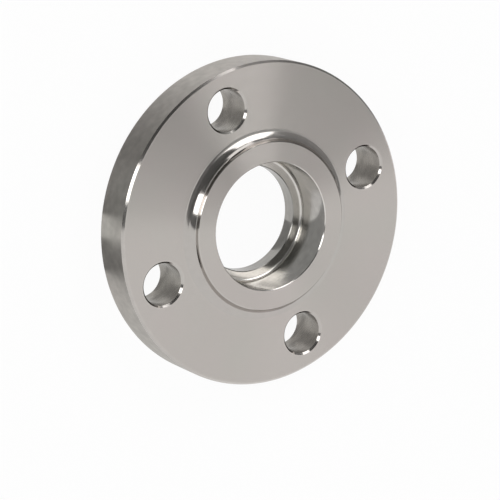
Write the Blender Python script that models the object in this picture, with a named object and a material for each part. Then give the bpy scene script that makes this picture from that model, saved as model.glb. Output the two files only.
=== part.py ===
"""Socket weld flange: one turned ring with a hub, a pipe socket, a raised face and a circle of bolt holes.

The flange lies on its raised face. The origin is the centre of that face, and +Z runs along the pipe axis
towards the hub. All sizes are in metres.
"""

import math

import bmesh
import bpy

# Ring
FLANGE_DIAMETER = 0.1270
RING_THICKNESS = 0.0168
RIM_CHAMFER = 0.0008

# Raised face on the gasket side
RAISED_FACE_DIAMETER = 0.0730
RAISED_FACE_HEIGHT = 0.0016

# Hub on the pipe side
HUB_DIAMETER = 0.0658
HUB_HEIGHT = 0.0040
HUB_FILLET_RADIUS = 0.0048

# Socket that takes the pipe end, and the bore below its ledge
SOCKET_DIAMETER = 0.0500
SOCKET_DEPTH = 0.0163
SOCKET_CORNER_RADIUS = 0.0012
BORE_DIAMETER = 0.0420

# Turned edges of the hub, the socket mouth, the bore and the raised face are broken by this much
EDGE_BREAK = 0.0003

# Bolt holes, which straddle the flange's centre lines, each with its axis this far in from the rim
BOLT_TO_RIM = 0.0143
BOLT_HOLE_DIAMETER = 0.0164
BOLT_HOLE_CHAMFER = 0.0007
BOLT_COUNT = 4
FIRST_BOLT_ANGLE = math.radians(45)

# Facets
TURN_STEPS = 96
HOLE_STEPS = 32
FILLET_STEPS = 7
CORNER_STEPS = 3
SHARP_ANGLE = math.radians(30)

# How far a cutter stands past the face that it opens
CUTTER_OVERRUN = 0.0010

# Points closer than this are one point
MERGE_DISTANCE = 1e-6

# Material
STEEL_COLOUR = (0.49, 0.48, 0.46, 1.0)
STEEL_ROUGHNESS = 0.32


def clear_objects():
    """Empty the scene, whatever it held."""
    for obj in list(bpy.data.objects):
        bpy.data.objects.remove(obj, do_unlink=True)


def turned_steel():
    """Bright turned stainless steel."""
    material = bpy.data.materials.new("turned_steel")
    material.use_nodes = True
    shader = material.node_tree.nodes["Principled BSDF"]
    shader.inputs["Base Color"].default_value = STEEL_COLOUR
    shader.inputs["Metallic"].default_value = 1.0
    shader.inputs["Roughness"].default_value = STEEL_ROUGHNESS
    material.diffuse_color = STEEL_COLOUR
    return material


def arc(centre, radius, start_degrees, end_degrees, steps):
    """Points (r, z) along an arc, both ends included."""
    points = []
    for step in range(steps + 1):
        angle = math.radians(start_degrees + (end_degrees - start_degrees) * step / steps)
        r = centre[0] + radius * math.cos(angle)
        z = centre[1] + radius * math.sin(angle)
        points.append((r, z))
    return points


def hub_side(radius, front, top):
    """Down the hub from its top edge to the ring's front face, round the fillet between them.

    A fillet that is larger than the side is high starts part of the way round, at the top edge.
    """
    side = top - EDGE_BREAK - front
    fillet = HUB_FILLET_RADIUS
    start = math.asin(max(0.0, 1.0 - side / fillet))
    centre = (radius + fillet * math.cos(start), front + fillet)
    points = [(radius - EDGE_BREAK, top)]
    if side > fillet:
        points.append((radius, top - EDGE_BREAK))
    points += arc(centre, fillet, 180 + math.degrees(start), 270, FILLET_STEPS)
    return points


def rim(radius, front, back):
    """Down the rim, chamfered at both faces."""
    return [
        (radius - RIM_CHAMFER, front),
        (radius, front - RIM_CHAMFER),
        (radius, back + RIM_CHAMFER),
        (radius - RIM_CHAMFER, back),
    ]


def raised_face(outer, inner, back):
    """Down the side of the raised face and in across it to the bore."""
    return [
        (outer, back),
        (outer, EDGE_BREAK),
        (outer - EDGE_BREAK, 0.0),
        (inner + EDGE_BREAK, 0.0),
    ]


def bore_and_socket(bore, socket, top):
    """Up the bore, out over the ledge and up the socket wall to its mouth."""
    ledge = top - SOCKET_DEPTH
    corner = min(SOCKET_CORNER_RADIUS, socket - bore)
    points = [(bore, EDGE_BREAK), (bore, ledge)]
    points += arc((socket - corner, ledge + corner), corner, -90, 0, CORNER_STEPS)
    points += [(socket, top - EDGE_BREAK), (socket + EDGE_BREAK, top)]
    return points


def flange_section():
    """The turned section as a closed loop of (r, z): down its outer side, then up its inner side."""
    back = RAISED_FACE_HEIGHT
    front = back + RING_THICKNESS
    top = front + HUB_HEIGHT
    bore = BORE_DIAMETER / 2
    section = hub_side(HUB_DIAMETER / 2, front, top)
    section += rim(FLANGE_DIAMETER / 2, front, back)
    section += raised_face(RAISED_FACE_DIAMETER / 2, bore, back)
    section += bore_and_socket(bore, SOCKET_DIAMETER / 2, top)
    return section


def hole_section():
    """Half the outline of a bolt hole's cutter, from the axis at its top to the axis at its bottom.

    Above the ring it keeps the chamfer's width up past the hub, so that a nut's seat stays clear.
    """
    hole = BOLT_HOLE_DIAMETER / 2
    front = RAISED_FACE_HEIGHT + RING_THICKNESS
    back = RAISED_FACE_HEIGHT
    wide = hole + BOLT_HOLE_CHAMFER + CUTTER_OVERRUN
    above = front + HUB_HEIGHT + CUTTER_OVERRUN
    below = -CUTTER_OVERRUN
    return [
        (0.0, above),
        (wide, above),
        (wide, front + CUTTER_OVERRUN),
        (hole, front - BOLT_HOLE_CHAMFER),
        (hole, back + BOLT_HOLE_CHAMFER),
        (wide, back - CUTTER_OVERRUN),
        (wide, below),
        (0.0, below),
    ]


def turned_object(name, section, steps, closed):
    """Spin a section of (r, z) points about +Z into a closed, smooth-shaded solid."""
    mesh = bmesh.new()
    points = [mesh.verts.new((r, 0.0, z)) for r, z in section]
    edges = [mesh.edges.new(pair) for pair in zip(points, points[1:])]
    if closed:
        edges.append(mesh.edges.new((points[-1], points[0])))
    bmesh.ops.spin(
        mesh,
        geom=points + edges,
        cent=(0.0, 0.0, 0.0),
        axis=(0.0, 0.0, 1.0),
        angle=math.tau,
        steps=steps,
        use_merge=True,
    )
    bmesh.ops.remove_doubles(mesh, verts=mesh.verts, dist=MERGE_DISTANCE)
    bmesh.ops.recalc_face_normals(mesh, faces=mesh.faces)
    data = bpy.data.meshes.new(name)
    mesh.to_mesh(data)
    mesh.free()
    data.shade_smooth()
    data.set_sharp_from_angle(angle=SHARP_ANGLE)
    obj = bpy.data.objects.new(name, data)
    bpy.context.scene.collection.objects.link(obj)
    return obj


def drill_bolt_holes(flange):
    """Cut the bolt holes with copies of one turned cutter, carried by an empty at the pattern's centre."""
    pattern = bpy.data.objects.new("bolt_circle", None)
    pattern.rotation_euler = (0.0, 0.0, FIRST_BOLT_ANGLE)
    bpy.context.scene.collection.objects.link(pattern)
    circle_radius = FLANGE_DIAMETER / 2 - BOLT_TO_RIM
    first = turned_object("bolt_hole_cutter", hole_section(), HOLE_STEPS, closed=False)
    for index in range(BOLT_COUNT):
        cutter = first
        if index:
            cutter = first.copy()
            bpy.context.scene.collection.objects.link(cutter)
        angle = math.tau * index / BOLT_COUNT
        cutter.parent = pattern
        cutter.location = (
            circle_radius * math.cos(angle),
            circle_radius * math.sin(angle),
            0.0,
        )
        cutter.hide_render = True
        cutter.display_type = "WIRE"
        cut = flange.modifiers.new(f"bolt_hole_{index + 1}", "BOOLEAN")
        cut.operation = "DIFFERENCE"
        cut.solver = "EXACT"
        cut.object = cutter


def build_flange():
    """The whole flange as one solid."""
    flange = turned_object("flange", flange_section(), TURN_STEPS, closed=True)
    flange.data.materials.append(turned_steel())
    drill_bolt_holes(flange)
    return flange


clear_objects()
build_flange()
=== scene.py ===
"""Looks of the socket weld flange: a finely turned skin over its solid, its finishes, light and camera.

Lengths are in metres. The flange lies on its raised face, with the pipe axis along +Z.
"""

import math

import bmesh
import bpy
from mathutils import Matrix, Vector

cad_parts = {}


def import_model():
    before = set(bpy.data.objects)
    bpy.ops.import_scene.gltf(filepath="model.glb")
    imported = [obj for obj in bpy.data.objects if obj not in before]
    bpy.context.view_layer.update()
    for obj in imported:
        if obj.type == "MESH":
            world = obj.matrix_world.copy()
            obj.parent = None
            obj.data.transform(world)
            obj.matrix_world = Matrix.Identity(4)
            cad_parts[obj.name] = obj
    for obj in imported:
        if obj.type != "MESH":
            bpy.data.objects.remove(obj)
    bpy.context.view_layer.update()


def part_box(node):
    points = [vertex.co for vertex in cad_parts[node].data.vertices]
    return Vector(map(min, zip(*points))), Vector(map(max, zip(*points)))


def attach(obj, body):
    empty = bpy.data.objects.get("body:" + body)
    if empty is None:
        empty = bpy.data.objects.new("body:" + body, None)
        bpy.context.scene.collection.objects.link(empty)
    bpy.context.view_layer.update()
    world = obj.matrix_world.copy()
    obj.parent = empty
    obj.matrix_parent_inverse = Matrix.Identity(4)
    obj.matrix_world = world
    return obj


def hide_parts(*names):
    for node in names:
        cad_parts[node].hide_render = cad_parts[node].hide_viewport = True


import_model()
LOW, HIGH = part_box("flange")

# Overall sizes come from the frame, so that the skin fills the solid's box exactly
RIM_RADIUS = (HIGH.x - LOW.x) / 2
TOP = HIGH.z

# The turned section, as in the part's source but for the broken edges of its hub and ledge
HUB_HEIGHT = 0.0040
RAISED_FACE_HEIGHT = 0.0016
RAISED_FACE_RADIUS = 0.0365
RIM_CHAMFER = 0.0008
HUB_RADIUS = 0.0329
HUB_FILLET = 0.0048
HUB_EDGE = 0.00022
MOUTH_EDGE = 0.0003
LEDGE_EDGE = 0.0003
SOCKET_RADIUS = 0.0250
SOCKET_DEPTH = 0.0163
SOCKET_CORNER = 0.0012
BORE_RADIUS = 0.0210
EDGE_BREAK = 0.0003
FRONT = TOP - HUB_HEIGHT
BACK = RAISED_FACE_HEIGHT

# Serrations of the raised face: each groove's points, as shares of its pitch and its depth
GROOVE_PITCH = 0.0008
GROOVE_DEPTH = 0.00008
GROOVE_PROFILE = ((0.25, 0.6), (0.5, 1.0), (0.75, 0.6), (1.0, 0.0))

# Bolt holes
BOLT_CIRCLE_RADIUS = 0.0492
BOLT_RADIUS = 0.0082
BOLT_CHAMFER = 0.0007
BOLT_COUNT = 4
FIRST_BOLT_ANGLE = math.radians(45)
CUTTER_OVERRUN = 0.0010

# How close the lathe's marks lie, in marks per metre
MARK_SCALE = 1500.0

# Colour patches and spots, in patches per metre, with how far the colour and the roughness swing
PATCH_SCALE = 45.0
PATCH_CONTRAST = 1.6
ROSY = (1.012, 0.992, 0.996)
GREENISH = (0.988, 1.006, 0.99)
SPOT_SCALE = 320.0
SPOT_ROUGHER = 0.05

# Wear along the edges: its width, and how much lighter and smoother the steel is there
WEAR_WIDTH = 0.0007
WEAR_LIGHTER = 0.12
WEAR_SMOOTHER = 0.06

# Fineness of the skin
TURN_STEPS = 384
HOLE_STEPS = 96
FILLET_STEPS = 18
CORNER_STEPS = 6
SHARP_ANGLE = math.radians(30)
MERGE_DISTANCE = 1e-7

# How much of Z a face's normal has: over the first two where the face lies level or nearly so, and under the
# last where it stands upright
LEVEL = 0.999
NEARLY_LEVEL = 0.95
UPRIGHT = 0.2

# The photograph's camera, fitted to the flange's edges
CAMERA_AIM = Vector((0.01128, -0.00286, FRONT))
CAMERA_DISTANCE = 0.86750
CAMERA_AZIMUTH = math.radians(0.103)
CAMERA_ELEVATION = math.radians(54.581)
CAMERA_ROLL = math.radians(110.108)
CAMERA_SENSOR = 36.0
CAMERA_LENS = 162.842

# Floor and light
FLOOR_SIZE = 8.0
FLOOR_WHITE = 0.95
FLOOR_GLOW = 0.95
WORLD_GREY = 0.88
LAMP_DISTANCE = 1.2
CARD_DISTANCE = 2.0
CARD_STEPS = 16

# The flat card over the flange: its height, its left and its slanted right edge
OVERHEAD_HEIGHT = 1.9
OVERHEAD_LEFT = -0.9
OVERHEAD_RIGHT = [(0.69, -0.9), (0.24, 0.0), (0.19, 0.25), (-0.05, 0.47)]

# Patches of painted shade on the floor, seen only in reflections, with how near to its wall each lies and
# how far from it
SHADE_PATCH_HEIGHT = 0.0002
RIM_REACH = (0.0005, 0.25)
BORE_REACH = (0.0044, 0.027)
HOLE_REACH = (0.0012, 0.0155)
FAR_REACH = (0.1, CARD_DISTANCE)
PAINTED_SHADE_GLOW = 0.22
BORE_SHADE_GLOW = 0.41
HOLE_SHADE_GLOW = 0.48

# Round the rim the painted shade on the floor darkens in steps: where the first starts, how it glows, the
# change at each
FADE_STEPS = 6
FADE_AZIMUTH = -142
FADE_TURN = 5
FADE_SHADE_GLOW = 0.85
FADE_DIMMER = 0.11


def arc(centre, radius, start_degrees, end_degrees, steps):
    """Points (r, z) along an arc, both ends included."""
    points = []
    for step in range(steps + 1):
        angle = math.radians(start_degrees + (end_degrees - start_degrees) * step / steps)
        r = centre[0] + radius * math.cos(angle)
        z = centre[1] + radius * math.sin(angle)
        points.append((r, z))
    return points


def serrations(outer, inner):
    """The shallow grooves that the facing tool leaves in the raised face, from the outer radius inwards."""
    count = round((outer - inner) / GROOVE_PITCH)
    pitch = (outer - inner) / count
    points = []
    for groove in range(count):
        edge = outer - groove * pitch
        for share, depth in GROOVE_PROFILE:
            points.append((edge - share * pitch, depth * GROOVE_DEPTH))
    return points[:-1]


def section():
    """The closed turned section: down the outer side, then up the inner side."""
    side = HUB_HEIGHT - HUB_EDGE
    start = math.asin(1.0 - side / HUB_FILLET)
    centre = (HUB_RADIUS + HUB_FILLET * math.cos(start), FRONT + HUB_FILLET)
    points = [(HUB_RADIUS - HUB_EDGE, TOP)]
    points += arc(centre, HUB_FILLET, 180 + math.degrees(start), 270, FILLET_STEPS)
    points += [(centre[0] + EDGE_BREAK, FRONT)]
    points += [(RIM_RADIUS - RIM_CHAMFER, FRONT), (RIM_RADIUS, FRONT - RIM_CHAMFER)]
    points += [(RIM_RADIUS, BACK + RIM_CHAMFER), (RIM_RADIUS - RIM_CHAMFER, BACK)]

    points += [(RAISED_FACE_RADIUS, BACK), (RAISED_FACE_RADIUS, EDGE_BREAK)]
    points += [(RAISED_FACE_RADIUS - EDGE_BREAK, 0.0)]
    points += serrations(RAISED_FACE_RADIUS - EDGE_BREAK, BORE_RADIUS + EDGE_BREAK)
    points += [(BORE_RADIUS + EDGE_BREAK, 0.0), (BORE_RADIUS, EDGE_BREAK)]

    ledge = TOP - SOCKET_DEPTH
    points += [(BORE_RADIUS, ledge - LEDGE_EDGE), (BORE_RADIUS + LEDGE_EDGE, ledge)]
    points += [(SOCKET_RADIUS - SOCKET_CORNER - EDGE_BREAK, ledge)]
    corner = (SOCKET_RADIUS - SOCKET_CORNER, ledge + SOCKET_CORNER)
    points += arc(corner, SOCKET_CORNER, -90, 0, CORNER_STEPS)
    points += [(SOCKET_RADIUS, TOP - MOUTH_EDGE), (SOCKET_RADIUS + MOUTH_EDGE, TOP)]
    return points


def turned(name, points, steps, closed):
    """Spin (r, z) points about +Z into an object."""
    mesh = bmesh.new()
    verts = [mesh.verts.new((r, 0.0, z)) for r, z in points]
    edges = [mesh.edges.new(pair) for pair in zip(verts, verts[1:])]
    if closed:
        edges.append(mesh.edges.new((verts[-1], verts[0])))
    bmesh.ops.spin(
        mesh,
        geom=verts + edges,
        axis=(0, 0, 1),
        cent=(0, 0, 0),
        angle=math.tau,
        steps=steps,
        use_merge=True,
    )
    bmesh.ops.remove_doubles(mesh, verts=mesh.verts, dist=MERGE_DISTANCE)
    bmesh.ops.recalc_face_normals(mesh, faces=mesh.faces)
    data = bpy.data.meshes.new(name)
    mesh.to_mesh(data)
    mesh.free()
    obj = bpy.data.objects.new(name, data)
    bpy.context.scene.collection.objects.link(obj)
    return obj


def bolt_place(index):
    """Where a bolt hole's axis meets the floor."""
    angle = FIRST_BOLT_ANGLE + math.tau * index / BOLT_COUNT
    x = BOLT_CIRCLE_RADIUS * math.cos(angle)
    y = BOLT_CIRCLE_RADIUS * math.sin(angle)
    return Vector((x, y, 0.0))


def drill(skin):
    """Cut the chamfered bolt holes out of the skin."""
    wide = BOLT_RADIUS + BOLT_CHAMFER + CUTTER_OVERRUN
    above = FRONT + CUTTER_OVERRUN
    below = BACK - CUTTER_OVERRUN
    outline = [
        (0.0, above),
        (wide, above),
        (BOLT_RADIUS, FRONT - BOLT_CHAMFER),
        (BOLT_RADIUS, BACK + BOLT_CHAMFER),
        (wide, below),
        (0.0, below),
    ]
    cutter = turned("hole_cutter", outline, HOLE_STEPS, closed=False)
    for index in range(BOLT_COUNT):
        cutter.location = bolt_place(index)
        cut = skin.modifiers.new("hole", "BOOLEAN")
        cut.object = cutter
        cut.operation = "DIFFERENCE"
        cut.solver = "EXACT"
        bpy.context.view_layer.update()
        evaluated = skin.evaluated_get(bpy.context.evaluated_depsgraph_get())
        data = bpy.data.meshes.new_from_object(evaluated)
        skin.modifiers.clear()
        skin.data = data
    bpy.data.objects.remove(cutter, do_unlink=True)


def shader_of(name, roughness, anisotropy):
    """A new metal material and its Principled shader."""
    material = bpy.data.materials.new(name)
    material.use_nodes = True
    shader = material.node_tree.nodes["Principled BSDF"]
    shader.inputs["Metallic"].default_value = 1.0
    shader.inputs["Roughness"].default_value = roughness
    shader.inputs["Anisotropic"].default_value = anisotropy
    shader.inputs["Anisotropic Rotation"].default_value = 0.25
    return material, shader


def maths(tree, operation, *values):
    """One Math node; a value is a number or a socket."""
    node = tree.nodes.new("ShaderNodeMath")
    node.operation = operation
    for socket, value in zip(node.inputs, values):
        if isinstance(value, (int, float)):
            socket.default_value = value
        else:
            tree.links.new(value, socket)
    return node.outputs[0]


def vectors(tree, operation, *values):
    """One Vector Math node; a value is a tuple, a socket, or a number for Scale."""
    node = tree.nodes.new("ShaderNodeVectorMath")
    node.operation = operation
    for index, value in enumerate(values):
        socket = node.inputs["Scale"] if operation == "SCALE" and index == 1 else node.inputs[index]
        if isinstance(value, (tuple, int, float)):
            socket.default_value = value
        else:
            tree.links.new(value, socket)
    return node.outputs["Value"] if operation == "LENGTH" else node.outputs["Vector"]


def ring_marks(tree, along, scale):
    """Noise along the turned section, the same all the way round, swinging about zero."""
    noise = tree.nodes.new("ShaderNodeTexNoise")
    noise.noise_dimensions = "1D"
    noise.inputs["Scale"].default_value = scale
    noise.inputs["Detail"].default_value = 3.0
    tree.links.new(along, noise.inputs["W"])
    return maths(tree, "SUBTRACT", noise.outputs[0], 0.5)


def clouds(tree, place, scale, detail):
    """Soft patches, swinging about zero."""
    noise = tree.nodes.new("ShaderNodeTexNoise")
    noise.inputs["Scale"].default_value = scale
    noise.inputs["Detail"].default_value = detail
    tree.links.new(place, noise.inputs["Vector"])
    return maths(tree, "SUBTRACT", noise.outputs[0], 0.5)


def band(tree, distance, at):
    """One where a distance has a value, falling to zero over the width of the wear."""
    away = maths(tree, "ABSOLUTE", maths(tree, "SUBTRACT", distance, at))
    return maths(tree, "MAXIMUM", maths(tree, "MULTIPLY_ADD", away, -1.0 / WEAR_WIDTH, 1.0), 0.0)


def edge_wear(tree, flat, radius, height, patches):
    """How much the turned edges and the bolt holes' edges are rubbed, in patches."""
    # Folded into one quarter, the four bolt holes are one
    quarter = vectors(tree, "ABSOLUTE", flat)
    bolt = BOLT_CIRCLE_RADIUS * math.sqrt(0.5)
    from_bolt = vectors(tree, "LENGTH", vectors(tree, "SUBTRACT", quarter, (bolt, bolt, 0.0)))
    wear = band(tree, from_bolt, BOLT_RADIUS + BOLT_CHAMFER)
    for edge in (RIM_RADIUS - RIM_CHAMFER, HUB_RADIUS, SOCKET_RADIUS):
        wear = maths(tree, "MAXIMUM", wear, band(tree, radius, edge))
    for edge in (FRONT - RIM_CHAMFER, BACK + RIM_CHAMFER):
        wear = maths(tree, "MAXIMUM", wear, band(tree, height, edge))
    return maths(tree, "MULTIPLY", wear, maths(tree, "ADD", patches, 0.5))


def tinted(tree, colour, patches, light):
    """The steel's colour, a little rosier or greener from patch to patch, times how light it is."""
    mix = tree.nodes.new("ShaderNodeMix")
    mix.data_type = "RGBA"
    tree.links.new(maths(tree, "MULTIPLY_ADD", patches, PATCH_CONTRAST, 0.5), mix.inputs["Factor"])
    mix.inputs["A"].default_value = (*(c * t for c, t in zip(colour, ROSY)), 1.0)
    mix.inputs["B"].default_value = (*(c * t for c, t in zip(colour, GREENISH)), 1.0)
    return vectors(tree, "SCALE", mix.outputs["Result"], light)


def turned_finish(
    name, colour, roughness, anisotropy=0.0, lean=0.0, rise=0.0, rings=0.03, smear=0.1, dents=4e-6
):
    """Steel with a lathe's marks: the gloss spreads across them, and their flanks lean outward.

    lean is the slope of the flanks, rise tips them up, and rings is how much slope, lightness and roughness
    vary from mark to mark. smear is how much the steel lightens and darkens in spots, and dents is how deep
    the spots are.
    """
    material, shader = shader_of(name, roughness, anisotropy)
    tree = material.node_tree
    place = tree.nodes.new("ShaderNodeTexCoord").outputs["Object"]
    flat = vectors(tree, "MULTIPLY", place, (1.0, 1.0, 0.0))
    outward = vectors(tree, "NORMALIZE", flat)
    radius = vectors(tree, "LENGTH", flat)
    split = tree.nodes.new("ShaderNodeSeparateXYZ")
    tree.links.new(place, split.inputs[0])
    height = split.outputs["Z"]
    marks = ring_marks(tree, maths(tree, "ADD", radius, height), MARK_SCALE)
    patches = clouds(tree, place, PATCH_SCALE, 1.0)
    spots = clouds(tree, place, SPOT_SCALE, 3.0)
    wear = edge_wear(tree, flat, radius, height, spots)

    light = maths(tree, "MULTIPLY_ADD", spots, smear, 1.0)
    light = maths(tree, "MULTIPLY_ADD", wear, WEAR_LIGHTER, light)
    light = maths(tree, "MULTIPLY_ADD", marks, rings, light)
    tree.links.new(tinted(tree, colour, patches, light), shader.inputs["Base Color"])

    gloss = maths(tree, "MULTIPLY_ADD", marks, rings, roughness)
    gloss = maths(tree, "MULTIPLY_ADD", spots, SPOT_ROUGHER, gloss)
    gloss = maths(tree, "MULTIPLY_ADD", wear, -WEAR_SMOOTHER, gloss)
    tree.links.new(gloss, shader.inputs["Roughness"])

    tangent = tree.nodes.new("ShaderNodeTangent")
    tangent.direction_type = "RADIAL"
    tangent.axis = "Z"
    tree.links.new(tangent.outputs[0], shader.inputs["Tangent"])

    slope = maths(tree, "MULTIPLY_ADD", marks, rings, lean)
    normal = tree.nodes.new("ShaderNodeNewGeometry").outputs["Normal"]
    tilt = vectors(tree, "ADD", vectors(tree, "SCALE", outward, slope), (0.0, 0.0, rise))
    leaning = vectors(tree, "NORMALIZE", vectors(tree, "ADD", normal, tilt))
    bump = tree.nodes.new("ShaderNodeBump")
    bump.inputs["Strength"].default_value = 1.0
    bump.inputs["Distance"].default_value = dents
    tree.links.new(spots, bump.inputs["Height"])
    tree.links.new(leaning, bump.inputs["Normal"])
    tree.links.new(bump.outputs[0], shader.inputs["Normal"])
    return material


# Regions of the skin, in the order of its material slots
FACE, FILLET, CHAMFER, RIM, SOCKET, LEDGE, BORE, DRILLED, BACK_FACE, GASKET_FACE = range(10)


def materials():
    """One finish for each region of the flange, with painted shade and painted light in some regions'
    colours.
    """
    light_steel = (0.547, 0.514, 0.488)
    polished_steel = (0.523, 0.496, 0.473)
    edge_steel = (0.53, 0.503, 0.48)
    # Darker than the steel above, as painted shade, except the ledge, which is lighter, as painted light
    rim_steel_painted_shade = (0.424, 0.402, 0.376)
    socket_steel_painted_shade = (0.412, 0.4, 0.38)
    ledge_steel_painted_light = (0.7, 0.675, 0.645)
    bore_steel_painted_shade = (0.338, 0.328, 0.312)
    hole_steel_painted_shade = (0.288, 0.27, 0.247)
    return [
        turned_finish("turned_face", light_steel, 0.25, anisotropy=0.912, lean=0.105, smear=0.04),
        turned_finish("polished_fillet", polished_steel, 0.13, anisotropy=0.3),
        turned_finish("chamfer", edge_steel, 0.16, anisotropy=0.3),
        turned_finish("rim", rim_steel_painted_shade, 0.44, anisotropy=0.72, smear=0.5, dents=12e-6),
        turned_finish("socket", socket_steel_painted_shade, 0.15, anisotropy=0.88, rise=-0.073, smear=0.3),
        turned_finish("ledge", ledge_steel_painted_light, 0.218, anisotropy=0.71, smear=0.2),
        turned_finish("bore", bore_steel_painted_shade, 0.24, anisotropy=0.5, smear=0.3),
        turned_finish("drilled", hole_steel_painted_shade, 0.27, rings=0.12, smear=0.6, dents=10e-6),
        turned_finish("turned_back", light_steel, 0.36, anisotropy=0.9, lean=0.09, rings=0.08),
        turned_finish("gasket_face", light_steel, 0.3, anisotropy=0.8, rings=0.25),
    ]


def region(centre, normal):
    """Which finish a face of the skin has."""
    r = math.hypot(centre.x, centre.y)
    z = centre.z
    from_bolt = min((centre.xy - bolt_place(index).xy).length for index in range(BOLT_COUNT))
    upright = abs(normal.z) < UPRIGHT
    if from_bolt < BOLT_RADIUS + BOLT_CHAMFER and abs(normal.z) < NEARLY_LEVEL:
        return DRILLED if upright else CHAMFER
    if normal.z > LEVEL:
        return FACE if z > TOP - SOCKET_DEPTH / 2 else LEDGE
    if normal.z < -NEARLY_LEVEL:
        return GASKET_FACE if z < BACK / 2 else BACK_FACE
    if r > RIM_RADIUS - RIM_CHAMFER:
        return RIM if upright else CHAMFER
    if z > FRONT and r > SOCKET_RADIUS + 2 * EDGE_BREAK:
        return FILLET
    if r < BORE_RADIUS + EDGE_BREAK:
        return BORE
    if r < SOCKET_RADIUS + EDGE_BREAK:
        return SOCKET if upright else LEDGE
    return CHAMFER


def skin_piece():
    """The flange itself, finely turned, in place of its solid."""
    skin = turned("flange_skin", section(), TURN_STEPS, closed=True)
    drill(skin)
    skin.data.shade_smooth()
    skin.data.set_sharp_from_angle(angle=SHARP_ANGLE)
    skin.data.materials.clear()
    for material in materials():
        skin.data.materials.append(material)
    for face in skin.data.polygons:
        face.material_index = region(face.center, face.normal)
    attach(skin, "root")
    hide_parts("flange")
    return skin


def floor():
    """A plain white floor that keeps a little shadow where camera, glossy and transmission rays see it."""
    bpy.ops.mesh.primitive_plane_add(size=FLOOR_SIZE)
    plane = bpy.context.object
    plane.name = "floor"
    material = bpy.data.materials.new("floor")
    material.use_nodes = True
    tree = material.node_tree
    tree.nodes.clear()
    path = tree.nodes.new("ShaderNodeLightPath").outputs
    seen = maths(tree, "ADD", path["Is Camera Ray"], path["Is Glossy Ray"])
    seen = maths(tree, "ADD", seen, path["Is Transmission Ray"])
    share = maths(tree, "MULTIPLY", maths(tree, "MINIMUM", seen, 1.0), FLOOR_GLOW)
    white = tree.nodes.new("ShaderNodeBsdfDiffuse")
    white.inputs["Color"].default_value = (FLOOR_WHITE, FLOOR_WHITE, FLOOR_WHITE, 1.0)
    glow = tree.nodes.new("ShaderNodeEmission")
    glow.inputs["Strength"].default_value = 1.0
    mix = tree.nodes.new("ShaderNodeMixShader")
    tree.links.new(share, mix.inputs[0])
    tree.links.new(white.outputs[0], mix.inputs[1])
    tree.links.new(glow.outputs[0], mix.inputs[2])
    output = tree.nodes.new("ShaderNodeOutputMaterial")
    tree.links.new(mix.outputs[0], output.inputs["Surface"])
    plane.data.materials.append(material)


def camera():
    """The camera at the photograph's viewing angle."""
    data = bpy.data.cameras.new("camera")
    data.sensor_width = CAMERA_SENSOR
    data.lens = CAMERA_LENS
    data.clip_start = 0.01
    data.clip_end = 50.0
    obj = bpy.data.objects.new("camera", data)
    bpy.context.scene.collection.objects.link(obj)
    turn = Matrix.Rotation(CAMERA_AZIMUTH, 4, "Z")
    turn @= Matrix.Rotation(math.pi / 2 - CAMERA_ELEVATION, 4, "X")
    turn @= Matrix.Rotation(CAMERA_ROLL, 4, "Z")
    back = turn.to_3x3() @ Vector((0, 0, 1))
    obj.matrix_world = Matrix.Translation(CAMERA_AIM + back * CAMERA_DISTANCE) @ turn
    bpy.context.scene.camera = obj
    return obj


def towards(azimuth, elevation):
    """Unit vector for degrees of azimuth from +Y towards +X, and degrees of elevation."""
    a, e = math.radians(azimuth), math.radians(elevation)
    return Vector((math.sin(a) * math.cos(e), math.cos(a) * math.cos(e), math.sin(e)))


def softbox(name, azimuth, elevation, pitch, roll, width, height, radiance):
    """A rectangular lamp that faces the flange's axis, looks down by pitch degrees and is turned by roll."""
    data = bpy.data.lights.new(name, "AREA")
    data.shape = "RECTANGLE"
    data.size = width
    data.size_y = height
    data.energy = radiance * math.pi * width * height
    obj = bpy.data.objects.new(name, data)
    turn = (-towards(azimuth, pitch)).to_track_quat("-Z", "Y").to_matrix().to_4x4()
    distance = LAMP_DISTANCE / math.cos(math.radians(elevation - pitch))
    place = Matrix.Translation(towards(azimuth, elevation) * distance)
    obj.matrix_world = place @ turn @ Matrix.Rotation(math.radians(roll), 4, "Z")
    obj.visible_camera = False
    bpy.context.scene.collection.objects.link(obj)


def plain(name, kind):
    """A new material of one shader of the given kind, and that shader."""
    material = bpy.data.materials.new(name)
    material.use_nodes = True
    tree = material.node_tree
    tree.nodes.clear()
    shader = tree.nodes.new(kind)
    output = tree.nodes.new("ShaderNodeOutputMaterial")
    tree.links.new(shader.outputs[0], output.inputs["Surface"])
    return material, shader


def matt(name, tone):
    """A matt grey."""
    material, shader = plain(name, "ShaderNodeBsdfDiffuse")
    shader.inputs["Color"].default_value = (tone, tone, tone, 1.0)
    return material


def shining(name, strength):
    """A grey that shines by itself; a strength of 1 is white."""
    material, shader = plain(name, "ShaderNodeEmission")
    shader.inputs["Strength"].default_value = strength
    return material


def card(name, corners, material):
    """A card over a grid of points; corners is its rows of points."""
    mesh = bmesh.new()
    rows = [[mesh.verts.new(point) for point in row] for row in corners]
    for a, b in zip(rows, rows[1:]):
        for j in range(len(a) - 1):
            mesh.faces.new((a[j], a[j + 1], b[j + 1], b[j]))
    data = bpy.data.meshes.new(name)
    mesh.to_mesh(data)
    mesh.free()
    data.materials.append(material)
    obj = bpy.data.objects.new(name, data)
    bpy.context.scene.collection.objects.link(obj)
    obj.visible_camera = False
    return obj


def spread(ends):
    """Evenly spaced values from the first to the second of two."""
    return [ends[0] + (ends[1] - ends[0]) * step / CARD_STEPS for step in range(CARD_STEPS + 1)]


def curved_card(name, azimuths, elevations, tone):
    """A card curved round the flange between two azimuths and two elevations."""
    rows = [[towards(az, el) * CARD_DISTANCE for el in spread(elevations)] for az in spread(azimuths)]
    card(name, rows, matt(name, tone))


def painted_shade_patch(name, rows, glow):
    """A glowing patch of painted shade on the floor, which only reflections show."""
    patch = card(name, rows, shining(name, glow))
    patch.visible_diffuse = False
    patch.visible_shadow = False


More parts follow.
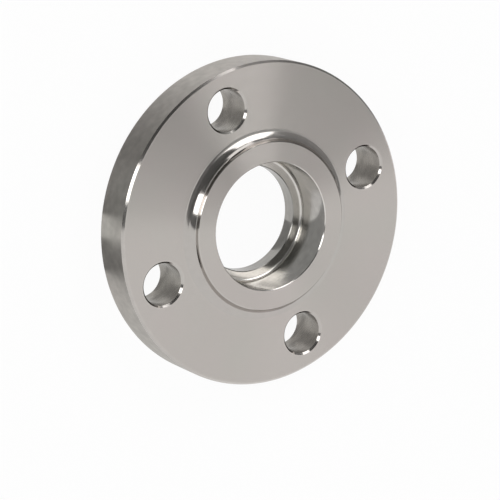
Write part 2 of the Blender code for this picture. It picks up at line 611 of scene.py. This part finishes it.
def painted_shade_fan(name, centre, radius, azimuths, reach, glow):
    """A patch of painted shade, fanned out the way that a turned wall mirrors the floor to the camera.

    centre and radius are the wall's, and reach is how near to it and how far from it the patch lies.
    """
    rows = []
    for az in spread(azimuths):
        foot = centre + towards(az, 0) * radius + Vector((0.0, 0.0, SHADE_PATCH_HEIGHT))
        rows.append([foot + towards(2 * az + 180, 0) * distance for distance in reach])
    painted_shade_patch(name, rows, glow)


def painted_shade_sector(name, azimuths, radii, glow):
    """A patch of painted shade between two azimuths and two distances."""
    lift = Vector((0.0, 0.0, SHADE_PATCH_HEIGHT))
    rows = [[towards(az, 0) * distance + lift for distance in radii] for az in spread(azimuths)]
    painted_shade_patch(name, rows, glow)


def overhead_card(name, tone):
    """A flat card over the flange, cut off at a slant on its right."""
    rows = []
    for right, y in OVERHEAD_RIGHT:
        rows.append([Vector((x, y, OVERHEAD_HEIGHT)) for x in (OVERHEAD_LEFT, right)])
    card(name, rows, matt(name, tone))


def world():
    """Plain pale light from all round."""
    studio = bpy.data.worlds.new("studio")
    studio.use_nodes = True
    background = studio.node_tree.nodes["Background"]
    background.inputs["Color"].default_value = (WORLD_GREY, WORLD_GREY, WORLD_GREY, 1.0)
    bpy.context.scene.world = studio


def lamps():
    """The lamps that the photograph's fillet mirrors."""
    softbox("softbox_left", -87.6, 41, 41, 28, 0.64, 0.94, 2.15)
    softbox("softbox_low", -113, 10, 0, 0, 0.64, 0.44, 1.32)
    softbox("softbox_front", 176, 28.4, 0, 0, 0.45, 1.25, 3.57)


def cards():
    """The greys that stand round the flange and over it."""
    curved_card("card_left", (-17.5, -75), (0, 47), 0.47)
    curved_card("card_left_low", (-75, -100), (0, 20), 0.57)
    curved_card("card_left_high", (-62, -100), (20, 82), 0.77)
    curved_card("card_left_top", (-20, -62), (47, 68), 0.74)
    curved_card("card_left_dome", (-20, -62), (68, 82), 0.42)
    curved_card("card_back", (-100, -197), (0, 82), 0.19)
    curved_card("card_right", (163, 150), (0, 82), 0.21)
    overhead_card("card_top", 0.27)


def painted_shade_patches():
    """Painted shade on the floor, which the chamfer, rim, socket, bore and bolt holes mirror."""
    painted_shade_sector("painted_shade_far", (-17.5, -75), FAR_REACH, PAINTED_SHADE_GLOW)
    middle = Vector((0.0, 0.0, 0.0))
    for step in range(FADE_STEPS):
        start = FADE_AZIMUTH - FADE_TURN * step
        glow = FADE_SHADE_GLOW - FADE_DIMMER * step
        painted_shade_fan(f"painted_shade_fade_{step}", middle, RIM_RADIUS, (start, start - FADE_TURN), RIM_REACH, glow)
    painted_shade_fan("painted_shade_front", middle, RIM_RADIUS, (-172, -196), RIM_REACH, PAINTED_SHADE_GLOW)
    painted_shade_fan("painted_shade_right", middle, RIM_RADIUS, (-204, -216), RIM_REACH, PAINTED_SHADE_GLOW)
    painted_shade_fan("painted_shade_bore", middle, SOCKET_RADIUS, (30, -17), BORE_REACH, BORE_SHADE_GLOW)
    for index in range(BOLT_COUNT):
        painted_shade_fan(f"painted_shade_hole_{index}", bolt_place(index), BOLT_RADIUS, (30, -12), HOLE_REACH, HOLE_SHADE_GLOW)


skin_piece()
floor()
camera()
world()
lamps()
cards()
painted_shade_patches()
bpy.context.scene.view_settings.view_transform = "Standard"
